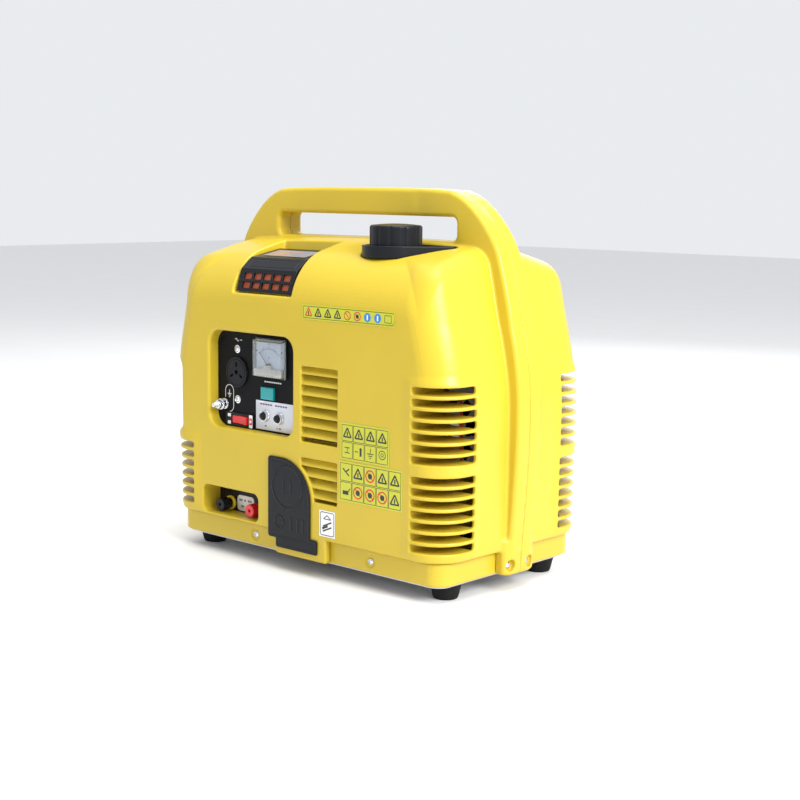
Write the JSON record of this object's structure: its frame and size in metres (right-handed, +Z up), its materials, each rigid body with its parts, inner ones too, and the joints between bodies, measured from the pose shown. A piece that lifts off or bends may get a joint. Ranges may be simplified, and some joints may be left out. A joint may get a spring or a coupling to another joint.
{
  "type": "portable generator",
  "caption": "Enclosed portable petrol generator with a moulded two-half casing, arched carrying handle, recessed control panel, vented corners and a fuel filler on top.",
  "frame": {"origin": "on the floor plane, midway between the four feet", "axes": "+X along the length towards the alternator end, -Y out of the control side, +Z up"},
  "size_m": [0.494, 0.275, 0.4599],
  "materials": {
    "casing_yellow": "gloss",
    "black_plastic": "satin",
    "matt_black": "matte",
    "rubber_black": "matte",
    "chrome": "polished",
    "steel": "brushed",
    "dark_steel": "satin",
    "alloy": "cast",
    "iron": "cast",
    "brass": "machined",
    "white_plastic": "satin",
    "red_plastic": "gloss",
    "yellow_plastic": "gloss",
    "orange_plastic": "satin",
    "teal_lens": "gloss",
    "clear_plastic": "gloss",
    "dial_card": "matte",
    "label_film": "satin",
    "ceramic": "glazed",
    "copper_winding": "satin",
    "rope": "braided",
    "wire": "satin"
  },
  "bodies": {
    "casing": {"front_shell": "casing_yellow", "rear_shell": "casing_yellow", "base_tray": "casing_yellow", "base_plate": "steel", "rubber_feet": "rubber_black", "casing_screws": "chrome", "control_panel": "matt_black", "panel_screws": "chrome", "ac_receptacle": "black_plastic", "voltmeter_case": "matt_black", "voltmeter_dial": "dial_card", "voltmeter_window": "clear_plastic", "pilot_lamp": "teal_lens", "breaker_plate": "white_plastic", "circuit_breakers": "chrome", "rocker_frame": "black_plastic", "ground_stud": "chrome", "ground_nuts": "chrome", "dc_panel": "matt_black", "dc_studs": "brass", "dc_ring": "yellow_plastic", "label_plates": "label_film", "plug_shroud": "orange_plastic", "fuel_drip_tray": "rubber_black", "fuel_tank": "matt_black", "fuel_hose": "rubber_black", "rope_run": "rope", "recoil_housing": "dark_steel", "crankcase": "alloy", "engine_cylinder": "alloy", "cylinder_head": "alloy", "spark_plug": "ceramic", "plug_boot": "rubber_black", "carburetor": "alloy", "air_cleaner": "matt_black", "muffler": "dark_steel", "exhaust_grille": "dark_steel", "alternator_stator": "iron", "engine_cradle": "dark_steel", "engine_mounts": "rubber_black", "wiring_harness": "wire"},
    "cap_lift": {"fuel_cap_gasket": "rubber_black"},
    "fuel_cap": {"fuel_cap": "black_plastic"},
    "top_cover": {"top_vent_cover": "black_plastic"},
    "oil_cover": {"oil_access_cover": "black_plastic"},
    "oil_filler": {"oil_filler_cap": "black_plastic"},
    "rocker": {"rocker_button": "red_plastic"},
    "breaker_left": {"breaker_button_left": "black_plastic"},
    "breaker_right": {"breaker_button_right": "black_plastic"},
    "needle": {"voltmeter_needle": "black_plastic"},
    "post_negative": {"dc_knob_negative": "black_plastic"},
    "post_positive": {"dc_knob_positive": "red_plastic"},
    "starter_grip": {"recoil_grip": "black_plastic", "starter_rope": "rope"},
    "starter_reel": {"recoil_reel": "white_plastic"},
    "rotating_set": {"crankshaft": "steel", "flywheel_fan": "alloy", "alternator_rotor": "copper_winding"},
    "choke": {"choke_knob": "black_plastic"},
    "fuel_cock": {"fuel_cock_lever": "black_plastic"}
  },
  "joints": [
    {"name": "cap_lift_off", "type": "slide", "parent": "casing", "child": "cap_lift", "axis": [0, 0, 1], "range_m": [0, 0.05]},
    {"name": "cap_unscrew", "type": "hinge", "parent": "cap_lift", "child": "fuel_cap", "pos_m": [0.092, -0.061, 0.4], "axis": [0, 0, 1], "continuous": true},
    {"name": "top_cover_lift", "type": "slide", "parent": "casing", "child": "top_cover", "axis": [0, -0.5, 0.866], "range_m": [0, 0.06]},
    {"name": "oil_cover_pull", "type": "slide", "parent": "casing", "child": "oil_cover", "axis": [0, -1, 0], "range_m": [0, 0.06]},
    {"name": "oil_filler_turn", "type": "hinge", "parent": "casing", "child": "oil_filler", "pos_m": [-0.02, -0.105, 0.1], "axis": [0, -1, 0], "continuous": true},
    {"name": "switch_rock", "type": "hinge", "parent": "casing", "child": "rocker", "pos_m": [-0.1115, -0.113, 0.172], "axis": [0, 0, 1], "range_deg": [0, 14]},
    {"name": "breaker_left_push", "type": "slide", "parent": "casing", "child": "breaker_left", "axis": [0, 1, 0], "range_m": [0, 0.003], "stiffness_N_per_m": 400},
    {"name": "breaker_right_push", "type": "slide", "parent": "casing", "child": "breaker_right", "axis": [0, 1, 0], "range_m": [0, 0.003], "stiffness_N_per_m": 400},
    {"name": "needle_swing", "type": "hinge", "parent": "casing", "child": "needle", "pos_m": [-0.0572, -0.123, 0.243], "axis": [0, 1, 0], "range_deg": [0, 84], "stiffness_Nm_per_rad": 0.001},
    {"name": "negative_post_turn", "type": "hinge", "parent": "casing", "child": "post_negative", "pos_m": [-0.147, -0.115, 0.0605], "axis": [0, -1, 0], "continuous": true},
    {"name": "positive_post_turn", "type": "hinge", "parent": "casing", "child": "post_positive", "pos_m": [-0.092, -0.115, 0.0605], "axis": [0, -1, 0], "continuous": true},
    {"name": "grip_pull", "type": "slide", "parent": "casing", "child": "starter_grip", "axis": [-1, 0, 0], "range_m": [0, 0.5], "stiffness_N_per_m": 12},
    {"name": "reel_turn", "type": "hinge", "parent": "casing", "child": "starter_reel", "pos_m": [-0.201, 0.01, 0.17], "axis": [1, 0, 0], "range_deg": [0, 960]},
    {"name": "crank_turn", "type": "hinge", "parent": "casing", "child": "rotating_set", "pos_m": [0, 0.01, 0.17], "axis": [1, 0, 0], "continuous": true},
    {"name": "choke_pull", "type": "slide", "parent": "casing", "child": "choke", "axis": [-1, 0, 0], "range_m": [0, 0.012]},
    {"name": "fuel_cock_turn", "type": "hinge", "parent": "casing", "child": "fuel_cock", "pos_m": [-0.23, -0.05, 0.29], "axis": [-1, 0, 0], "range_deg": [0, 90]}
  ],
  "couplings": [
    {"joint": "reel_turn", "follows": "grip_pull", "rad_per_m": 33.333}
  ]
}
